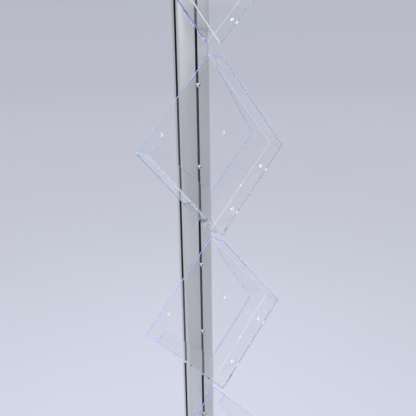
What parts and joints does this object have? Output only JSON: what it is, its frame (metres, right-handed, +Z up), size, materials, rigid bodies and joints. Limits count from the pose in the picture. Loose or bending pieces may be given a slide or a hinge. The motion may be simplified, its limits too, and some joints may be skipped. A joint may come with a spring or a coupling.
{
  "type": "brochure rack",
  "caption": "Free-standing brochure rack: slotted oval aluminium post on a flat base, with clear open-fronted pockets hung on it as diamonds by screws in the slot.",
  "frame": {"origin": "on the floor, under the middle of the base plate", "axes": "+Z up along the post, the pockets face -Y, +X is the rack's right-hand side seen from the front"},
  "size_m": [0.42, 0.34, 1.7554],
  "materials": {
    "anodised_aluminium": "satin clear anodised",
    "clear_acrylic": "polished, clear with a faint blue edge",
    "zinc_plated_steel": "bright zinc plated",
    "silver_powder_coat": "fine textured silver powder coat",
    "grey_plastic": "moulded, matt",
    "black_rubber": "matt"
  },
  "bodies": {
    "stand": {"base_plate": "silver_powder_coat", "base_screw_left": "zinc_plated_steel", "base_screw_middle": "zinc_plated_steel", "base_screw_right": "zinc_plated_steel", "post_extrusion": "anodised_aluminium", "post_top_cap": "grey_plastic", "rubber_foot_front_left": "black_rubber", "rubber_foot_front_right": "black_rubber", "rubber_foot_rear_left": "black_rubber", "rubber_foot_rear_right": "black_rubber"},
    "pocket_1": {"pocket_1_shell": "clear_acrylic", "pocket_1_upper_screw": "zinc_plated_steel", "pocket_1_upper_nut": "zinc_plated_steel", "pocket_1_lower_screw": "zinc_plated_steel", "pocket_1_lower_nut": "zinc_plated_steel"},
    "pocket_2": {"pocket_2_shell": "clear_acrylic", "pocket_2_upper_screw": "zinc_plated_steel", "pocket_2_upper_nut": "zinc_plated_steel", "pocket_2_lower_screw": "zinc_plated_steel", "pocket_2_lower_nut": "zinc_plated_steel"},
    "pocket_3": {"pocket_3_shell": "clear_acrylic", "pocket_3_upper_screw": "zinc_plated_steel", "pocket_3_upper_nut": "zinc_plated_steel", "pocket_3_lower_screw": "zinc_plated_steel", "pocket_3_lower_nut": "zinc_plated_steel"},
    "pocket_4": {"pocket_4_shell": "clear_acrylic", "pocket_4_upper_screw": "zinc_plated_steel", "pocket_4_upper_nut": "zinc_plated_steel", "pocket_4_lower_screw": "zinc_plated_steel", "pocket_4_lower_nut": "zinc_plated_steel"}
  },
  "joints": [
    {"name": "pocket_1_height", "type": "slide", "parent": "stand", "child": "pocket_1", "axis": [0, 0, 1], "range_m": [-0.008, 0.05]},
    {"name": "pocket_2_height", "type": "slide", "parent": "stand", "child": "pocket_2", "axis": [0, 0, 1], "range_m": [-0.005, 0.008]},
    {"name": "pocket_3_height", "type": "slide", "parent": "stand", "child": "pocket_3", "axis": [0, 0, 1], "range_m": [-0.0075, 0.005]},
    {"name": "pocket_4_height", "type": "slide", "parent": "stand", "child": "pocket_4", "axis": [0, 0, 1], "range_m": [-0.3, 0.008]}
  ]
}
